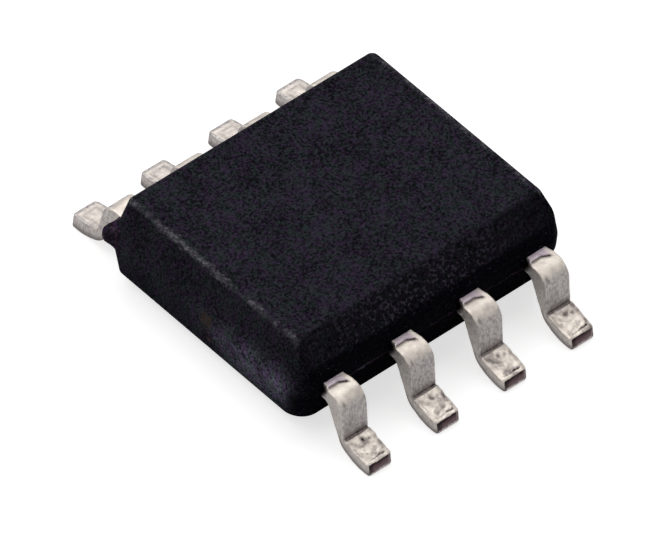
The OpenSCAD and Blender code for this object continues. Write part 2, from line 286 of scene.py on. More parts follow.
class Compound(Material):
    """Black epoxy moulding compound. Each method that takes a colour returns it with
    one more layer painted over it."""

    def __init__(self, name):
        super().__init__(name)
        self.mottle = self.noise(0.5, 2)
        self.grain = self.noise(0.036, 3, 0.65)
        self.coarse = self.noise(0.05, 2, 0.55, offset=17)
        self.x, self.y, self.z = (self.axis(name) for name in "XYZ")
        self.forward = self.math("MULTIPLY", self.y, -1.0)
        geometry = self.add("ShaderNodeNewGeometry")
        self.facing = self.parts(geometry.outputs["True Normal"])
        self.sideways = self.math("ABSOLUTE", self.facing["Y"])
        self.on_end = self.rise(self.math("MULTIPLY", self.facing["X"], -1.0), 0.5, 0.9)

    def skin(self, base):
        """The matt skin left by a spark-eroded mould, faintly mottled and tinted."""
        dark, light = (tuple(factor * c for c in base) for factor in (0.25, 1.8))
        purple, green = (1.0, 0.7, 1.0), (0.7, 0.97, 0.72)
        level = self.weighted((self.mottle, 0.16), (self.grain, 0.84))
        colour = self.steps(level, (0.4, dark), (0.6, light))
        tint = self.steps(self.noise(0.1, 2, 0.6, offset=3), (0.4, purple), (0.6, green))
        return self.mix(0.85, colour, tint, "MULTIPLY")

    def torn(self, colour):
        """Paler patches where the compound is broken, with painted highlights among them."""
        patches = self.rise(self.noise(0.09, 3, 0.6, offset=11), 0.5, 0.65)
        return self.mix(self.product(patches, 0.6), colour, (0.075, 0.05, 0.065))

    def shaded_long_sides(self, colour):
        """Painted shade on the long sides and the bevel, which come out a darker black."""
        side_shade = self.weighted((self.rise(self.sideways, 0.3, 0.7), 0.58),
                             (self.rise(self.sideways, 0.72, 0.95), 0.34))
        return self.mix(side_shade, colour, (0.0016, 0.0014, 0.0028))

    def lit_and_shaded_end(self, colour):
        """The -X end: painted shade under the rim, and a painted pool of light low down,
        but not at the corner beside lead 1, which gets painted shade."""
        # Painted shade on the upper part of the end
        upper = self.product(self.on_end, self.rise(self.z, 0.75, 1.15), 0.1)
        colour = self.mix(upper, colour, (0.0035, 0.0015, 0.0035))
        painted_pool_of_light = self.product(self.rise(self.y, -1.8, -1.45), self.near(self.z, 0.62, 0.58),
                              self.fall(self.y, -1.1, 0.5), self.rise(self.mottle, 0.2, 0.55))
        paler = self.mix(1.0, colour, (5.2, 5.2, 5.2), "MULTIPLY")
        colour = self.mix(self.product(self.on_end, painted_pool_of_light), colour, paler)
        # Painted shade at the low corner beside lead 1
        corner = self.product(self.rise(self.forward, 1.5, 1.75),
                              self.fall(self.z, 0.65, 0.95), 0.85)
        return self.mix(corner, colour, (0.002, 0.0018, 0.003))

    def tie_bar_smear(self, colour):
        """Copper that the punch dragged down when it cut the tie bar."""
        dragged = self.product(self.on_end, self.near(self.y, 0.02, 0.13),
                               self.near(self.z, 0.6, 0.3), self.rise(self.grain, 0.35, 0.6), 0.5)
        colour = self.mix(dragged, colour, (0.02, 0.016, 0.009))
        spot = self.product(self.on_end, self.near(self.y, -0.02, 0.06),
                            self.near(self.z, 0.4, 0.07), 0.8)
        return self.mix(spot, colour, (0.1, 0.06, 0.065))

    def scuffed_and_highlit_rims(self, colour):
        """Rims of the top face, paler in broken patches, most of all at its ends: wear, and a
        painted highlight.
        """
        end = BODY_LENGTH / 2 - TOP_INSET - 0.025
        away = self.distance(self.math("SUBTRACT", self.math("ABSOLUTE", self.x), end),
                             self.math("SUBTRACT", self.z, BODY_TOP))
        uneven = self.math("SUBTRACT", self.noise(0.07, 4, 0.7, offset=9), 0.5)
        ragged = self.math("ADD", away, self.product(uneven, -0.26))
        patches = self.rise(self.noise(0.22, 2, 0.6, offset=5), 0.36, 0.62)
        fine = self.rise(self.noise(0.05, 3, 0.7, offset=13), 0.45, 0.62)
        # Painted highlight along the rims at the top's ends, in broken patches
        rim = self.product(self.fall(ragged, 0.015, 0.08),
                           self.weighted((patches, 0.5), (self.near(self.y, 0.6, 0.9), 0.4)),
                           self.math("ADD", 0.25, fine))
        colour = self.mix(rim, colour, (0.165, 0.158, 0.178))
        # Chips of wear along the top's fillets, with a painted highlight along the -X end
        chips = self.rise(self.noise(0.07, 3, 0.6, offset=9), 0.4, 0.62)
        wear_and_painted_light = self.product(self.attribute("edge"), chips, 0.3)
        return self.mix(wear_and_painted_light, colour, (0.07, 0.07, 0.085))

    def specks(self, colour):
        """Pale specks of silica filler, coarser on the bevel and above the parting line."""
        fine = self.rise(self.noise(0.035, 2, 0.6, offset=7), 0.6, 0.7)
        amount = self.math("ADD", 0.15, self.product(self.sideways, 0.4))
        colour = self.mix(self.product(fine, amount), colour, (0.04, 0.04, 0.05))
        on_bevel = self.product(self.rise(self.coarse, 0.53, 0.64),
                                self.near(self.sideways, 0.7, 0.3), self.near(self.x, -0.2, 3.0))
        colour = self.mix(on_bevel, colour, (0.056, 0.048, 0.07))
        on_side = self.product(self.rise(self.coarse, 0.66, 0.72),
                               self.rise(self.sideways, 0.85, 0.97),
                               self.rise(self.facing["Z"], -0.05, 0.05))
        return self.mix(on_side, colour, (0.05, 0.045, 0.07))

    def parting_glint(self, colour):
        """A painted glint on the parting line beside lead 1."""
        parting_glint = self.product(self.rise(self.forward, 1.84, 1.9), self.near(self.x, -1.27, 0.3),
                              self.near(self.z, 0.765, 0.05), self.rise(self.coarse, 0.42, 0.56))
        return self.mix(parting_glint, colour, (0.13, 0.11, 0.16))


def compound_material(name, base, broken=False):
    m = Compound(name)
    moulded = (m.shaded_long_sides, m.lit_and_shaded_end, m.tie_bar_smear, m.scuffed_and_highlit_rims)
    colour = m.skin(base)
    for layer in ((m.torn,) if broken else moulded) + (m.specks, m.parting_glint):
        colour = layer(colour)
    m.set("Base Color", colour)
    # Smoother faces would shine at a low angle where they look down at the white floor
    downward = m.rise(m.math("MULTIPLY", m.facing["Z"], -1.0), 0.02, 0.15)
    m.set("Roughness", m.mix(downward, m.steps(m.grain, (0.35, 0.75), (0.65, 0.5)), (1.0,) * 3))
    m.set("Specular IOR Level", 0.004)
    pit_size, depth = (0.09, 0.05) if broken else (0.045, 0.022)
    m.bump(m.weighted((m.noise(pit_size, 3, 0.6, offset=1), 0.6), (m.grain, 0.4)), depth)
    return m.material


def tin_material():
    """Matt tin plating over the formed lead, which follows three attributes of the
    lead's mesh: painted_shade_and_stains is painted shade in hollows, creases and
    along some edges, with dark stains at random; leg is the drawn skin of the leg
    with painted shade, also on the side walls and the far row's feet; and dull the
    duller skin near the body."""
    m = Material("tin_plate_matt")
    grain = m.noise(0.02, 3, 0.6)
    cloud = m.noise(0.16, 3, 0.55, offset=2)
    brushed = m.noise(0.018, 3, 0.6, stretch=(1.0, 0.12, 0.12), offset=5)
    stain = m.noise(0.036, 3, 0.65, stretch=(1.0, 1.0, 0.6), offset=8)
    cream = m.steps(cloud, (0.35, (0.42, 0.378, 0.343)), (0.62, (0.62, 0.57, 0.51)))
    freckles = m.product(m.steps(grain, (0.35, 1.0), (0.6, 0.0)), 0.25)
    cream = m.mix(freckles, cream, (0.3, 0.26, 0.27))
    dull = m.mix(m.product(m.attribute("dull"), 0.85), cream, (0.41, 0.345, 0.4))
    # Painted shade for the leg, in mottled greys
    drawn = m.steps(stain, (0.36, (0.235, 0.2, 0.215)), (0.5, (0.33, 0.31, 0.292)),
                    (0.64, (0.41, 0.387, 0.375)))
    shaded = m.mix(m.attribute("leg"), dull, drawn)
    painted_shade_and_stains = m.attribute("painted_shade_and_stains")
    # Painted shade in hollows, creases and at edges, and dark stains at random
    shaded_and_stained = m.mix(painted_shade_and_stains, shaded, (0.06, 0.045, 0.047))
    shaded_and_stained = m.mix(m.rise(painted_shade_and_stains, 0.8, 1.0), shaded_and_stained, (0.014, 0.009, 0.012))
    m.set("Base Color", shaded_and_stained)
    m.set("Metallic", 1.0)
    rough = m.weighted((cloud, 0.2), (brushed, 0.25))
    m.set("Roughness", m.math("ADD", rough, 0.32, clamp=True))
    m.bump(m.weighted((grain, 0.5), (brushed, 0.5)), 0.006)
    return m.material


def cut_material():
    """The sheared end of a lead: bare copper alloy, torn below and burnished above, with
    tin dragged over its lower lip, and darker towards the top. The attribute
    painted_shade_and_stains holds painted shadow along its top and left rim, and dull
    is the tin that wraps round its edge towards +X."""
    m = Material("cut_end_copper")
    height = m.math("DIVIDE", m.axis("Z"), TOE_THICKNESS)
    tear = m.noise(0.03, 4, 0.65, stretch=(1.0, 1.0, 0.35))
    level = m.math("ADD", height, m.product(m.math("SUBTRACT", tear, 0.5), 0.5))
    colour = m.steps(level, (0.04, (0.5, 0.45, 0.44)), (0.18, (0.13, 0.09, 0.093)),
                     (0.6, (0.066, 0.038, 0.042)), (0.84, (0.03, 0.017, 0.018)))
    colour = m.mix(m.attribute("painted_shade_and_stains"), colour, (0.008, 0.005, 0.006))
    colour = m.mix(m.attribute("dull"), colour, (0.36, 0.33, 0.32))
    m.set("Base Color", colour)
    m.set("Metallic", 1.0)
    m.set("Roughness", m.steps(tear, (0.3, 0.55), (0.7, 0.35)))
    m.bump(tear, 0.012)
    return m.material


def paddle_material():
    """Copper alloy of the paddle: rolled grain along X, and its two cut ends smeared
    with moulding compound."""
    m = Material("lead_frame_copper")
    rolled = m.noise(0.03, 4, 0.6, stretch=(0.06, 1.0, 1.0))
    smear = m.noise(0.06, 3, 0.6, offset=4)
    copper = m.steps(rolled, (0.35, (0.42, 0.22, 0.13)), (0.65, (0.66, 0.37, 0.23)))
    out = m.product(m.math("ABSOLUTE", m.axis("X")), 0.1)
    at_end = m.steps(out, (0.2445, 0.0), (0.2455, 1.0))
    covered = m.product(m.steps(smear, (0.6, 1.0), (0.72, 0.96)), at_end)
    m.set("Base Color", m.mix(covered, copper, (0.009, 0.007, 0.009)))
    m.set("Metallic", m.math("SUBTRACT", 1.0, covered))
    m.set("Specular IOR Level", 0.03)
    m.set("Roughness", m.steps(smear, (0.4, 0.6), (0.65, 0.35)))
    m.bump(rolled, 0.004)
    return m.material


def adhesive_material():
    """Silver-filled epoxy: flakes in a grey resin."""
    m = Material("silver_adhesive")
    flakes = m.cells(0.02)
    m.set("Base Color", m.steps(flakes, (0.2, (0.72, 0.72, 0.7)), (0.7, (0.42, 0.42, 0.41))))
    m.set("Roughness", m.steps(flakes, (0.2, 0.35), (0.7, 0.6)))
    m.set("Metallic", 0.6)
    m.bump(flakes, 0.006)
    return m.material


def silicon_material():
    """Die: ground silicon on its sides, a glassy circuit of blocks and tracks on top,
    and bright bond pads, which stand a little higher than the circuit."""
    m = Material("die_silicon")
    pad_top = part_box("die")[1].z / MM
    circuit_level, pad_level = pad_top - 0.008, pad_top - 0.003
    blocks = m.cells(0.12, randomness=0.6)
    tracks = m.noise(0.02, 2, stretch=(0.3, 1.0, 1.0))
    circuit = m.steps(blocks, (0.25, (0.2, 0.26, 0.36)), (0.45, (0.34, 0.27, 0.42)),
                      (0.6, (0.3, 0.36, 0.3)))
    circuit = m.mix(m.product(tracks, 0.5), circuit, (0.62, 0.62, 0.6))
    ground = m.steps(m.noise(0.01, 2), (0.35, (0.2, 0.2, 0.22)), (0.65, (0.34, 0.34, 0.37)))
    level = m.axis("Z")
    top = m.mix(m.math("GREATER_THAN", level, circuit_level), ground, circuit)
    m.set("Base Color", m.mix(m.math("GREATER_THAN", level, pad_level), top, (0.85, 0.85, 0.86)))
    m.set("Metallic", 0.7)
    m.set("Roughness", m.steps(tracks, (0.3, 0.18), (0.7, 0.3)))
    m.bump(tracks, 0.002)
    return m.material


def wire_material():
    """Gold bond wire, drawn smooth with faint die lines."""
    m = Material("bond_wire_gold")
    lines = m.noise(0.006, 2)
    m.set("Base Color", m.steps(lines, (0.35, (0.92, 0.66, 0.26)), (0.65, (1.0, 0.78, 0.38))))
    m.set("Roughness", m.steps(lines, (0.3, 0.18), (0.7, 0.3)))
    m.set("Metallic", 1.0)
    m.bump(lines, 0.001)
    return m.material


# ---- Moulded body ----

def outline(inset, height, corner_steps):
    """Points around the body at a height, with the inset that its draft gives there.
    Each end has a point at either edge of the tie bar's opening."""
    half_x = BODY_LENGTH / 2 - CORNER_RADIUS
    half_y = BODY_WIDTH / 2 - CORNER_RADIUS
    points = []
    for quarter, (sx, sy) in enumerate(((1, 1), (-1, 1), (-1, -1), (1, -1))):
        # The corner beside lead 1 is eased further low down
        eased = 1.6 * inset if height < FRAME_BOTTOM and (sx, sy) == (-1, -1) else 0.0
        radius = CORNER_RADIUS - inset + eased
        for k in range(corner_steps + 1):
            angle = math.radians(90 * (quarter + k / corner_steps))
            points.append((sx * (half_x - eased) + radius * math.cos(angle),
                           sy * (half_y - eased) + radius * math.sin(angle) + MOLD_OFFSET,
                           height))
        if quarter % 2 == 1:
            end = sx * (BODY_LENGTH / 2 - inset)
            for y in (sx * -TIE_BAR_END / 2, sx * TIE_BAR_END / 2):
                points.append((end, y, height))
    return points


def fillet(bm, edges, radius):
    bmesh.ops.bevel(bm, geom=edges, offset=radius, offset_type="OFFSET", segments=4,
                    profile=0.5, affect="EDGES", clamp_overlap=False)


def body_shell():
    seam = 0.018
    top_fillet, bottom_fillet = 0.045, 0.05
    lower_lean = BOTTOM_INSET / (FRAME_BOTTOM - STANDOFF)
    upper_lean = TOP_INSET / (BODY_TOP - FRAME_TOP)
    levels = [
        (BOTTOM_INSET, STANDOFF),
        (seam * lower_lean, FRAME_BOTTOM - seam), (0.0, FRAME_BOTTOM + seam),
        (0.0, FRAME_TOP - seam), (seam * upper_lean, FRAME_TOP + seam),
        (TOP_INSET, BODY_TOP),
    ]
    tie_bar_level = 2
    bm = bmesh.new()
    rings = [[bm.verts.new(p) for p in outline(inset, z, 12)] for inset, z in levels]
    count = len(rings[0])
    for level, (low, high) in enumerate(zip(rings, rings[1:])):
        for i in range(count):
            j = (i + 1) % count
            middle = (low[i].co + low[j].co) / 2
            at_tie_bar = abs(middle.y) < TIE_BAR_END / 4 and abs(middle.x) > BODY_LENGTH / 4
            if level != tie_bar_level or not at_tie_bar:
                bm.faces.new((low[i], low[j], high[j], high[i]))
    bm.faces.new(rings[-1])

    # Underside, with the ejector pin's round mark sunk into it
    centre = Vector((0, MOLD_OFFSET, 0))
    mark = []
    for depth in (0, EJECTOR_DEPTH):
        ring = []
        for v in rings[0]:
            heading = (v.co - centre).xy.normalized() * EJECTOR_RADIUS
            ring.append(bm.verts.new((heading.x, heading.y + MOLD_OFFSET, STANDOFF + depth)))
        mark.append(ring)
    for outer, inner in ((rings[0], mark[0]), (mark[0], mark[1])):
        for i in range(count):
            j = (i + 1) % count
            bm.faces.new((outer[j], outer[i], inner[i], inner[j]))
    bm.faces.new(mark[1][::-1])

    # Index bevel
    slope = Vector((0, -1, 1)).normalized()
    edge = Vector((0, MOLD_OFFSET - BODY_WIDTH / 2 + TOP_INSET + INDEX_BEVEL, BODY_TOP))
    cut = bmesh.ops.bisect_plane(bm, geom=bm.verts[:] + bm.edges[:] + bm.faces[:], dist=1e-5,
                                 plane_co=edge, plane_no=slope, clear_outer=True)
    rim = [g for g in cut["geom_cut"] if isinstance(g, bmesh.types.BMEdge)]
    bmesh.ops.contextual_create(bm, geom=rim)
    bmesh.ops.recalc_face_normals(bm, faces=bm.faces[:])

    # Fillets where the mould's own edges are rounded
    def on_plane(e, point, normal):
        return all(abs((v.co - point).dot(normal)) < 1e-4 for v in e.verts)

    fillet(bm, [e for e in bm.edges
                if on_plane(e, UP * BODY_TOP, UP) or on_plane(e, edge, slope)], top_fillet)
    fillet(bm, [e for e in bm.edges if on_plane(e, UP * STANDOFF, UP) and
                min((v.co - centre).xy.length for v in e.verts) > 2 * EJECTOR_RADIUS],
           bottom_fillet)
    bmesh.ops.triangulate(bm, faces=[f for f in bm.faces if len(f.verts) > 4])
    # The cut leaves its parts in an order that changes from one run to the next
    for parts, place in ((bm.verts, lambda v: v.co[:]),
                         (bm.faces, lambda f: sorted(v.co[:] for v in f.verts))):
        for i, part in enumerate(sorted(parts, key=place)):
            part.index = i
        parts.sort()

    mesh = bpy.data.meshes.new("body_shell")
    bm.to_mesh(mesh)
    bm.free()
    # The fillets of the top get wear and a painted highlight, the one along the -X end the most,
    # the others less
    rim_x = BODY_LENGTH / 2 - TOP_INSET
    wear_and_painted_light = []
    for v in mesh.vertices:
        on_fillet = BODY_TOP - 0.04 < v.co.z < BODY_TOP - 1e-4
        wear_and_painted_light.append(0.25 + 0.75 * ramp(-v.co.x, rim_x - 0.05, rim_x - 0.01) if on_fillet else 0.0)
    add_attribute(mesh, "edge", wear_and_painted_light)
    mesh.transform(Matrix.Scale(MM, 4))
    mesh.polygons.foreach_set("use_smooth", [True] * len(mesh.polygons))
    piece = add_object("body_shell", mesh)
    # Large flat faces keep flat shading beside their small fillets
    modifier = piece.modifiers.new("normals", "WEIGHTED_NORMAL")
    modifier.mode = "FACE_AREA"
    modifier.weight = 100
    modifier.keep_sharp = True
    return piece


def gate_nub():
    """The stub of the gate, snapped off: flat sides from the mould and a torn end."""
    heading = math.radians(135)
    along = Vector((math.cos(heading), math.sin(heading), 0))
    across = Vector((-along.y, along.x, 0))
    origin = Vector((CORNER_RADIUS - BODY_LENGTH / 2,
                     BODY_WIDTH / 2 - CORNER_RADIUS + MOLD_OFFSET,
                     FRAME_BOTTOM + SHEET / 2 + 0.05))
    # Distances along it: its hidden root, where it leaves the corner, and its tip
    root, meeting, tip = 0.1, 0.2135, 0.42
    half_sizes = (0.16, 0.09), (0.19, 0.08)  # across and up, each at the body and the tip
    around, stations, cap_rings = 56, 26, 9

    def on_ring(d, w, h, k):
        """Point k around a rectangle with round corners, and its direction."""
        a = 2 * math.pi * k / around
        c, s = math.cos(a), math.sin(a)
        round_off = (abs(c) ** 6 + abs(s) ** 6) ** (-1 / 6)
        spot = origin + along * d + across * (w * c * round_off) + UP * (h * s * round_off)
        return spot, c, s

    vertices = []
    for i in range(stations):
        d = root + (tip - root) * i / (stations - 1)
        share = max(0.0, (d - meeting) / (tip - meeting))
        skirt = 0.02 * (1 - min(1, 2.5 * share)) ** 2
        rounding = math.sqrt(1 - max(0.0, (share - 0.7) / 0.3) ** 2 * 0.75)
        w, h = ((a + (b - a) * share + skirt) * rounding for a, b in half_sizes)
        for k in range(around):
            spot, c, s = on_ring(d, w, h, k)
            inward = ((0.012 + 0.012 * share) * (0.5 + 0.5 * wobble(spot, 0.045, 3))
                      + 0.02 * (0.5 + 0.5 * wobble(spot, 0.11, 6)))
            spot -= across * (c * inward) + UP * (s * inward)
            vertices.append(spot)
    for r in range(1, cap_rings + 1):
        share = 1 - r / cap_rings
        for k in range(around):
            spot = on_ring(tip, share * w, share * h, k)[0]
            depth = (0.02 * (0.5 + 0.5 * wobble(spot, 0.05, 5))
                     + 0.01 * (0.5 + 0.5 * wobble(spot, 0.018, 8)))
            vertices.append(spot - along * (depth * min(1, 2 * (1 - share))))
    return new_object("gate_nub", vertices, tube_faces(stations + cap_rings, around))


def flash(name, side, x_from, x_to, seed):
    """A ragged fin of moulding compound, squeezed out between the mould halves."""
    steps = max(8, int((x_to - x_from) / 0.02))
    face = BODY_WIDTH / 2 + side * MOLD_OFFSET
    hidden = 0.02
    vertices = []
    for i in range(steps + 1):
        share = i / steps
        x = x_from + (x_to - x_from) * share
        ends = min(1, 8 * share, 8 * (1 - share))
        ragged = wobble((x, 0, 0), 0.16, seed) + 0.5 * wobble((x, 0, 0), 0.05, seed) + 0.25
        out = 0.004 + ends * 0.03 * max(0.0, ragged)
        thick = 0.012 + 0.008 * wobble((x, 1, 0), 0.2, seed)
        z = FRAME_BOTTOM + 0.3 * SHEET + 0.006 * wobble((x, 2, 0), 0.3, seed)
        for y, dz in ((face - hidden, -2 * thick), (face + out, -thick),
                      (face + out, thick * 0.2), (face - hidden, thick)):
            vertices.append((x, side * y, z + dz))
    ends = [(0, 1, 2, 3), tuple(4 * steps + k for k in (3, 2, 1, 0))]
    return new_object(name, vertices, ends + tube_faces(steps + 1, 4), smooth=False)


# ---- Leads ----

# Corners of the lead's upper and lower line, outwards and up, with the radii of the
# inner ones. The sheet is drawn thinner at the heel, and the foot is pressed thinner
# towards the toe, less so in the far row.
TOE_THICKNESS = 0.19
UPPER_LINE = ((FINGER_TIP_OUT, FRAME_TOP), (2.371, FRAME_TOP), (2.492, 0.295),
              (2.74, 0.246), (TOE_OUT - 0.035, TOE_THICKNESS))
UPPER_RADII = (0.28, 0.035, 0.5)
FAR_UPPER_LINE = ((FINGER_TIP_OUT, FRAME_TOP), (2.405, FRAME_TOP), (2.5, 0.318),
                  (2.74, 0.285), (TOE_OUT - 0.008, 0.232))
FAR_UPPER_RADII = (0.24, 0.035, 0.5)
LOWER_LINE = ((FINGER_TIP_OUT, FRAME_BOTTOM), (2.08, FRAME_BOTTOM), (2.42, 0.135),
              (2.73, 0.0), (TOE_OUT, 0.0))
LOWER_RADII = (0.13, 0.35, 0.7)
STATIONS_PER_PIECE = (40, 26, 24, 14, 14, 8, 22)

# Half widths of the lead. The finger reaches further to one side, and the neck runs
# through the body's side wall.
FINGER_STRAIGHT = 0.24
FINGER_LEFT, FINGER_RIGHT = 0.26, 0.4
NECK_START = EXIT_OUT - 0.13
NECK_HALF = 0.175
LEAD_HALF = 0.215

# Steps across the section's top, down its sides and around its corners, and rings of
# the sheared end
ACROSS, DOWN, ARC, END_RINGS = 30, 8, 5, 9

# How far each mark on a lead's upper skin rises where it is full, in mm, and how much
# it darkens the tin: painted shade in hollows, creases and at edges, dark stains at random
MARKS = {
    "groove": (-0.018, 1.0),  # where the tool gripped it
    "smear": (0.0, 0.35),  # painted shade beside that groove
    "nick": (-0.01, 0.6),  # on the leg, at one edge
    "heel": (0.0, 0.5),  # painted shade in bands above the heel
    "crease": (-0.007, 0.52),  # in the bend over the heel
    "ridge": (0.011, 0.0),  # pushed up before that crease
    "burr": (0.02, 0.0),  # along one edge of the foot
    "sag": (-0.02, 0.0),  # along the other
    "dent": (-0.03, 0.0),  # of the tool's point
    "pit": (0.0, 1.0),  # painted shade in the dent, and darker around it
    "fold": (-0.012, 0.34),  # from the heel to the foot's edge
    "trough": (-0.013, 0.27),  # across the foot
    "slit": (-0.016, 1.0),  # at the toe
    "ring": (-0.006, 0.0),  # around the pad of a far foot
    "rim": (0.0, 0.4),  # painted shade at the edges of the foot
    "blot": (0.0, 0.46),  # in patches on the foot
    "soil": (0.0, 0.12),  # in patches on the leg
    "shoulder": (0.0, 0.09),  # all but leg and foot
}


def line_pieces(corners, radii):
    """Straight run, bend, straight run and so on to the last straight run: each a
    function from a share of its length to a point."""
    corners = [Vector(c) for c in corners]
    pieces = []
    start = corners[0]
    for before, corner, after, radius in zip(corners, corners[1:], corners[2:], radii):
        arriving = (corner - before).normalized()
        leaving = (after - corner).normalized()
        turn = arriving.angle(leaving)
        reach = radius * math.tan(turn / 2)
        first, last = corner - arriving * reach, corner + leaving * reach
        pieces.append(lambda t, a=start, b=first: a.lerp(b, t))
        swing = 1 if arriving.cross(leaving) > 0 else -1
        centre = first + Vector((-arriving.y, arriving.x)) * radius * swing

        def bend(t, centre=centre, arm=first - centre, turn=turn * swing):
            c, s = math.cos(turn * t), math.sin(turn * t)
            return centre + Vector((c * arm.x - s * arm.y, s * arm.x + c * arm.y))
        pieces.append(bend)
        start = last
    pieces.append(lambda t, a=start, b=corners[-1]: a.lerp(b, t))
    return pieces


def lead_stations(upper_line, upper_radii):
    """Pairs of upper and lower points from the finger's tip to the toe, the length at
    each along the upper line, and the lengths at which its pieces start, and its end."""
    upper = line_pieces(upper_line, upper_radii)
    lower = line_pieces(LOWER_LINE, LOWER_RADII)
    pairs, starts = [], []
    for over, under, count in zip(upper, lower, STATIONS_PER_PIECE):
        starts.append(len(pairs))
        pairs += [(over(i / count), under(i / count)) for i in range(count)]
    pairs.append((upper[-1](1), lower[-1](1)))
    lengths = [0.0]
    for (a, _), (b, _) in zip(pairs, pairs[1:]):
        lengths.append(lengths[-1] + (b - a).length)
    return pairs, lengths, [lengths[start] for start in starts] + [lengths[-1]]


FORMED = {-1: lead_stations(UPPER_LINE, UPPER_RADII),
          1: lead_stations(FAR_UPPER_LINE, FAR_UPPER_RADII)}
S_EXIT = EXIT_OUT - FINGER_TIP_OUT


def edges_at(s):
    """Left and right edge of a lead's outline, before the mirror of its place."""
    out = FINGER_TIP_OUT + s
    finger_end = FINGER_TIP_OUT + FINGER_STRAIGHT
    if out < finger_end:
        return -FINGER_LEFT, FINGER_RIGHT
    if out < NECK_START:
        share = (out - finger_end) / (NECK_START - finger_end)
        right = FINGER_RIGHT + (NECK_HALF - FINGER_RIGHT) * share
        late = min(1, max(0, (out - NECK_START) / 0.085 + 1))
        return -(FINGER_LEFT + (NECK_HALF - FINGER_LEFT) * late), right
    half = NECK_HALF + (LEAD_HALF - NECK_HALF) * ramp(out, EXIT_OUT + 0.03, EXIT_OUT + 0.16)
    return -half, half


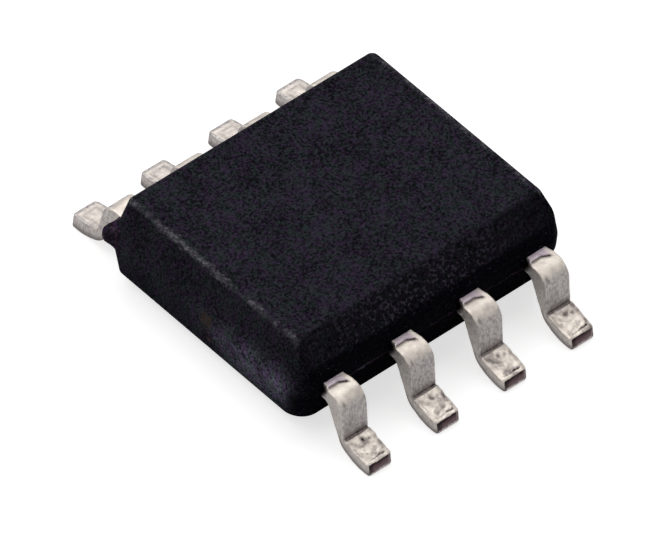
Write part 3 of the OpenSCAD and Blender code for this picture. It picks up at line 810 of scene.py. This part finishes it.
class Lead:
    """One formed lead, as a closed sheet: rings of points from the finger's tip to the
    toe, at lengths s along its upper line. Where a point given to wobble holds a whole
    number, that keeps one mark's noise apart from another's."""

    def __init__(self, pin):
        column = pin - 1 if pin <= 4 else 8 - pin
        self.pin = pin
        self.side = -1 if pin <= 4 else 1
        self.x = (column - 1.5) * LEAD_PITCH
        self.mirror = 1 if self.x < 0 else -1
        self.seed = 11.3 * pin
        self.shifts = [0.012 * wobble((pin, k, 0), 0.7, 5.0) for k in range(5)]
        self.pairs, self.lengths, starts = FORMED[self.side]
        self.s_leg, self.s_foot, self.s_toe = starts[2], starts[4], starts[-1]

    def near_foot(self, s, x, foot):
        """Marks of the forming tool on the near row's feet, with painted shade in their hollows
        and along one edge.
        """
        seed, s_foot, s_toe = self.seed, self.s_foot, self.s_toe
        along, aside, second, slit_from, slit_to = self.shifts
        dent = bell(s, s_foot + 0.1 + along, 0.05) * bell(x, 0.02 + aside, 0.045)
        dent = max(dent, 0.7 * bell(s, s_foot + 0.13 + second, 0.03) * bell(x, 0.1, 0.035))
        dent *= 0.85 + 0.35 * wobble((x, s, 2), 0.03, seed)
        halo = bell(s, s_foot + 0.16, 0.1) * bell(x, 0.01, 0.11)
        halo *= 0.7 + 0.5 * wobble((x, s, 5), 0.06, seed)
        waver = 0.03 * wobble((x, s, 6), 0.06, seed)
        fold = bell(x, 0.65 * (s - s_foot) - 0.195 + waver, 0.028)
        trough = bell(s, s_foot + 0.34 - 0.3 * x + waver, 0.05)
        slit = bell(s, s_toe - 0.07, 0.018) * between(x, 0.03 + slit_from, 0.15 + slit_to, 0.012)
        faint = 0.45 * bell(s, s_toe - 0.06, 0.014) * between(x, -0.12, 0.05, 0.03)
        return {
            "dent": dent,
            "pit": max(0.45 * halo, 0.9 * dent),
            "fold": fold * between(s, s_foot + 0.05, s_foot + 0.2, 0.03),
            "trough": trough * between(x, -0.14, 0.09, 0.04),
            "slit": max(slit, faint),
            "rim": 0.9 * foot * ramp(x, 0.135, 0.17),
        }

    def from_edge(self, s, x):
        """Distance from the nearest edge of the foot."""
        return min(LEAD_HALF - abs(x), self.s_toe - 0.02 - s)

    def far_foot(self, s, x, foot):
        """Marks on the far row's feet, from the other half of the forming tool: each
        has a pad with a pressed ring around it, and painted shade in the ring and at its edges."""
        inward = self.from_edge(s, x)
        ring = foot * bell(inward, 0.105, 0.035)
        ring *= 0.8 + 0.4 * wobble((x, s, 11), 0.09, self.seed)
        return {"ring": ring, "rim": 0.35 * foot * ramp(-inward, -0.05, -0.02) + 0.95 * ring}

    def top_form(self, s, x):
        """Height of the tool marks on the upper skin, with its dullness, painted leg shade
        and painted shade and stains. Here x is along the row, the same way on every lead."""
        near, seed = self.side < 0, self.seed
        s_leg, s_foot, s_toe = self.s_leg, self.s_foot, self.s_toe
        foot = ramp(s, s_foot - 0.03, s_foot + 0.03)
        # Painted shade on the leg
        leg = between(s, s_leg - 0.16, s_foot - 0.02, 0.07)
        grip = S_EXIT + 0.106 + 0.06 * ramp(x, -0.02, 0.14)
        spots = wobble((x, s, 7), 0.12, seed) + 0.5 * wobble((x, s, 7), 0.04, seed)
        marks = self.near_foot(s, x, foot) if near else self.far_foot(s, x, foot)
        marks.update(
            groove=bell(s, grip, 0.024 + 0.05 * max(0.0, x)) * between(x, -0.18, 0.14, 0.03),
            smear=between(s, grip - 0.05, grip, 0.015) * between(x, -0.02, 0.13, 0.03),
            nick=bell(s, s_leg - 0.15, 0.07) * bell(x, -0.15, 0.03),
            heel=(between(s, s_foot - 0.11, s_foot - 0.015, 0.045)
                  * (0.7 + 0.4 * wobble((x, 0.3 * s, 4), 0.03, seed))),
            crease=between(s, s_foot - 0.05, s_foot - 0.008, 0.012),
            ridge=bell(s, s_foot + 0.014, 0.016) * (0.6 + 0.4 * wobble((x, 0, 0), 0.06, seed)),
            burr=between(s, s_foot - 0.01, s_foot + 0.14, 0.04) * ramp(x, 0.08, 0.18),
            sag=between(s, s_foot + 0.1, s_toe - 0.1, 0.08) * ramp(-x, -0.1, 0.15),
            blot=(foot if near else 0.3 * foot) * ramp(spots, -0.05, 0.5),
            soil=leg * ramp(wobble((x, 0.6 * s, 9), 0.06, seed), 0.1, 0.6),
            shoulder=(1 - foot) * (1 - leg),
        )
        # The feet are pressed uneven, and drawing left fine lines down the leg
        uneven = 0.5 * wobble((x, s, 0), 0.11, seed) + 0.4 * wobble((x, 0.6 * s, 3), 0.045, seed)
        uneven *= (0.024 if near else 0.009) * foot + 0.004 * (1 - foot)
        lines = 0.0025 * leg * wobble((x, 0.15 * s, 0), 0.02, seed)
        height = uneven + lines + sum(MARKS[name][0] * full for name, full in marks.items())
        painted_shade_and_stains = min(1.0, sum(MARKS[name][1] * full for name, full in marks.items()))
        dull = between(s, S_EXIT - 0.1, grip - 0.005, 0.02) * ramp(-x, -0.17, -0.08)
        # The far row's feet get painted shade too, more towards their edges
        if not near:
            leg = max(leg, foot * ramp(-self.from_edge(s, x), -0.07, -0.03), 0.42 * foot)
        return height, dull, leg, painted_shade_and_stains

    def section(self, s, thickness):
        """Points (x, height) around the sheet at a length along it, and the tag of
        each: dullness, painted leg shade, and painted shade and stains. They run along
        the top, down the right side, back along the bottom and up the left."""
        near, mirror = self.side < 0, self.mirror
        outside = ramp(s, S_EXIT - 0.02, S_EXIT + 0.05)
        top_round = 0.02 + 0.004 * outside
        low_round = 0.014 + 0.006 * outside + 0.014 * ramp(s, self.s_toe - 0.12, self.s_toe)
        # The toe's corners and its upper edge are rounded
        corner_run, corner_turn, lip_run = (0.04, 0.028, 0.012) if near else (0.09, 0.055, 0.026)
        toe, turned = eased_end(s, self.s_toe, corner_run)
        narrow = corner_turn * turned
        high = thickness - 0.65 * lip_run * eased_end(s, self.s_toe, lip_run)[1]
        level = 1 - toe ** 4
        left, right = edges_at(s)
        left, right = left + narrow, right - narrow
        # The neck is cut nearer to one edge, and forming spreads the other edge's upper corner
        offset = 0.018 * between(s, S_EXIT - 0.07, S_EXIT + 0.1, 0.05)
        left, right = (left, right + offset) if mirror > 0 else (left - offset, right)
        spread = 0.024 * ramp(s, S_EXIT + 0.03, S_EXIT + 0.2)
        width = right - left
        points, tags = [], []

        def spot(x, h, tag):
            slack = (right - x) if mirror > 0 else (x - left)
            points.append((x - mirror * spread * (0.4 + 0.6 * h / thickness) * slack / width, h))
            tags.append(tag)

        def corner(cx, ch, radius, start, tag):
            for k in range(1, ARC):
                a = start - math.pi / 2 * k / ARC
                spot(cx + radius * math.cos(a), ch + radius * math.sin(a), tag)

        # Darker on all but the top of the walls near the body, painted shade low on the walls
        # from the heel on, and the cut of the dam bar on both sides
        root = ramp(-s, -S_EXIT - 0.19, -S_EXIT - 0.1)
        low_wall_shade = 0.7 * ramp(s, self.s_foot - 0.12, self.s_foot)
        stub = bell(s, S_EXIT + 0.2, 0.06)
        # The side walls get painted shade through the leg tag, more in the far row
        wear_and_painted_light = 0.62 if near else 0.9

        def wall(x, outwards, start, stop, descending):
            for i in range(DOWN + 1):
                t = i / DOWN
                share = t if descending else 1 - t
                darkening = max(root * ramp(share, 0.0, 0.25), low_wall_shade * ramp(share, 0.3, 1.0))
                bulge = 0.003 * stub * ramp(share, 0.2, 0.6)
                spot(x + outwards * bulge, start + (stop - start) * t, (stub * share, wear_and_painted_light, darkening))

        for i in range(ACROSS + 1):
            x = left + top_round + (width - 2 * top_round) * i / ACROSS
            height, *tag = self.top_form(s, mirror * x) if s > S_EXIT - 0.05 else (0, 0, 0, 0)
            ragged = 0.022 * toe * toe * max(0.0, wobble((x, 8, 0), 0.06, self.seed) + 0.1)
            spot(x, high + height * level - (ragged if near else 0.0), tag)
        _, dull, leg, painted_shade_and_stains = self.top_form(s, mirror * right)
        edge_tag = (dull, leg, 0.5 * painted_shade_and_stains)
        side_tag = (stub, wear_and_painted_light, max(root, low_wall_shade))
        right_top = high - top_round + self.top_form(s, mirror * (right - top_round))[0] * level
        left_top = high - top_round + self.top_form(s, mirror * (left + top_round))[0] * level
        corner(right - top_round, right_top, top_round, math.pi / 2, edge_tag)
        wall(right, 1, right_top, low_round, True)
        corner(right - low_round, low_round, low_round, 0.0, side_tag)
        for i in range(DOWN + 1):
            spot(right - low_round - (width - 2 * low_round) * i / DOWN, 0.0, (0.2, 0.3, root))
        corner(left + low_round, low_round, low_round, -math.pi / 2, side_tag)
        wall(left, -1, low_round, left_top, False)
        corner(left + top_round, left_top, top_round, math.pi, edge_tag)
        return points, tags

    def sheared_end(self, rim):
        """Points and tags from the rim of the end to its middle: it is set back a
        little behind the rim, and torn."""
        middle = Vector((self.x, self.side * TOE_OUT, self.pairs[-1][0].y / 2))
        points, tags = [], []
        for r in range(1, END_RINGS):
            share = (1 - r / END_RINGS) ** 0.6
            for at_rim in rim:
                p = middle + (at_rim - middle) * share
                coarse = wobble(p, 0.05, self.seed)
                tear = 0.5 + 0.5 * coarse + 0.3 * wobble(p, 0.02, self.seed)
                depth = 0.006 + 0.01 * tear + 0.012 * ramp(p.z, 0.1, 0.17)
                # Painted shadow under the top lip and along the left edge of the end
                shaded = max(ramp(at_rim.z, 0.13, 0.17),
                             0.8 * ramp(self.x - at_rim.x, 0.16, 0.21))
                shaded *= ramp(share + 0.2 * coarse, 0.45, 0.7)
                wrapped = ramp(p.x - self.x, 0.16, 0.192)
                p.y -= self.side * depth * ramp(1 - share, 0.0, 0.1)
                points.append(p)
                tags.append((wrapped, 0, shaded * (1 - wrapped)))
        points.append(middle - Vector((0, self.side * 0.01, 0)))
        tags.append((0, 0, 0))
        return points, tags

    def build(self):
        vertices, tags = [], []
        for (upper, lower), s in zip(self.pairs, self.lengths):
            thickness = (upper - lower).length
            points, new_tags = self.section(s, thickness)
            tags += new_tags
            for x, h in points:
                out, z = lower.lerp(upper, h / thickness)
                if s > S_EXIT:
                    # The punched sides aren't quite flat
                    x += 0.004 * wobble((x, out, z), 0.08, self.seed) * min(1, 40 * abs(z))
                vertices.append((self.x + self.mirror * x, self.side * out, z))
        around = len(points)
        last = len(vertices) - around
        faces = tube_faces(len(self.pairs), around) + [tuple(range(around))]
        skin = len(faces)
        points, new_tags = self.sheared_end([Vector(v) for v in vertices[last:]])
        vertices += points
        tags += new_tags
        hub = len(vertices) - 1
        inner = hub - around
        faces += tube_faces(END_RINGS, around, last)
        faces += [(inner + k, inner + (k + 1) % around, hub) for k in range(around)]

        piece = new_object("lead_%d_formed" % self.pin, vertices, faces)
        mesh = piece.data
        for index, name in enumerate(("dull", "leg", "painted_shade_and_stains")):
            add_attribute(mesh, name, [tag[index] for tag in tags])
        mesh.materials.append(TIN)
        mesh.materials.append(CUT)
        for polygon in mesh.polygons:
            polygon.material_index = 1 if polygon.index >= skin else 0
        mesh.polygons[skin - 1].use_smooth = False
        return piece


# ---- The chip ----

TIN = tin_material()
CUT = cut_material()
COMPOUND = compound_material("mold_compound_matt", (0.0208, 0.0197, 0.0274))
BROKEN = compound_material("mold_compound_broken", (0.022, 0.0155, 0.028), broken=True)


def finish_piece(piece, material=None, node=None):
    if material:
        piece.data.materials.append(material)
    if node:
        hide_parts(node)
    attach(piece, "root")


def flash_strips():
    """Flash along both long sides, between the leads and beyond the outer ones."""
    clear_of_lead = 0.2
    limit = BODY_LENGTH / 2 - CORNER_RADIUS
    for side, row in ((-1, "front"), (1, "back")):
        for gap in range(5):
            middle = (gap - 2) * LEAD_PITCH
            low = max(middle - LEAD_PITCH / 2 + clear_of_lead, -limit)
            high = min(middle + LEAD_PITCH / 2 - clear_of_lead, limit)
            strip = flash("flash_%s_%d" % (row, gap + 1), side, low, high, 4.1 * gap + side)
            finish_piece(strip, BROKEN)


def repaint(node, material):
    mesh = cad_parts[node].data
    mesh.materials.clear()
    mesh.materials.append(material)


finish_piece(body_shell(), COMPOUND, "mold_body")
finish_piece(gate_nub(), BROKEN)
flash_strips()
for pin in range(1, 9):
    finish_piece(Lead(pin).build(), node="lead_%d" % pin)
repaint("die_paddle", paddle_material())
repaint("die_attach", adhesive_material())
repaint("die", silicon_material())
wire = wire_material()
for pin in range(1, 9):
    repaint("bond_wire_%d" % pin, wire)


# ---- Floor, lights and camera ----

def floor():
    half, level = 450, -0.001
    corners = [(x * half, y * half, level) for x, y in ((-1, -1), (1, -1), (1, 1), (-1, 1))]
    piece = new_object("studio_floor", corners, [(0, 1, 2, 3)])
    m = Material("studio_floor_white")
    m.set("Base Color", (0.62, 0.62, 0.62))
    m.set("Roughness", 0.9)
    m.set("Specular IOR Level", 0.1)
    # Beyond the lamps' reach the floor glows more, to stay as white as the backdrop
    far = m.rise(m.distance(m.axis("X"), m.axis("Y")), 12.0, 70.0)
    glowing = m.math("ADD", m.product(far, 0.32), 0.68)
    glow = m.add("ShaderNodeEmission")
    both = m.add("ShaderNodeAddShader")
    m.link(m.product(m.seen(), glowing), glow.inputs["Strength"])
    m.link(m.shader.outputs[0], both.inputs[0])
    m.link(glow.outputs[0], both.inputs[1])
    m.link(both.outputs[0], m.tree.nodes["Material Output"].inputs["Surface"])
    piece.data.materials.append(m.material)


def surroundings():
    """White where it is seen or mirrored, and a weak even light otherwise."""
    even_light = 0.1
    world = bpy.data.worlds.new("studio")
    bpy.context.scene.world = world
    world.use_nodes = True
    nodes = Nodes(world.node_tree)
    backdrop = nodes.tree.nodes["Background"]
    nodes.feed([backdrop.inputs["Color"]], [(1, 1, 1)])
    nodes.link(nodes.math("MAXIMUM", nodes.seen(), even_light), backdrop.inputs["Strength"])


def lamp(name, place, size, power):
    """A rectangular lamp that faces the origin."""
    light = bpy.data.lights.new(name, "AREA")
    light.shape = "RECTANGLE"
    light.size, light.size_y = (s * MM for s in size)
    light.energy = power
    piece = add_object(name, light)
    piece.location = Vector(place) * MM
    piece.rotation_euler = (-Vector(place)).to_track_quat("-Z", "Y").to_euler()


def camera():
    """A long lens, far off and above the corner beside lead 1, aimed near the middle."""
    azimuth, elevation, roll = (math.radians(a) for a in (-48.477, 46.018, 7.5486))
    distance, view_width = 249.93, 9.123538  # and the width seen that far off
    aim = Vector((0.0800969, 0.0943585, 0.1482417))
    back = Vector((math.sin(azimuth) * math.cos(elevation),
                   -math.cos(azimuth) * math.cos(elevation), math.sin(elevation)))
    level = UP.cross(back).normalized()
    right = math.cos(roll) * level + math.sin(roll) * back.cross(level)
    data = bpy.data.cameras.new("camera")
    data.sensor_fit = "HORIZONTAL"
    data.sensor_width = 36
    data.lens = data.sensor_width * distance / view_width
    data.clip_start = 0.01
    data.clip_end = 10
    piece = add_object("camera", data)
    matrix = Matrix((right, back.cross(right), back)).transposed().to_4x4()
    matrix.translation = (aim + back * distance) * MM
    piece.matrix_world = matrix
    bpy.context.scene.camera = piece


floor()
lamp("overhead", (12, 52, 112), (200, 120), 0.17)
lamp("left_fill", (-119, 78, 85), (60, 60), 0.045)
camera()
surroundings()
bpy.context.scene.view_settings.view_transform = "Standard"
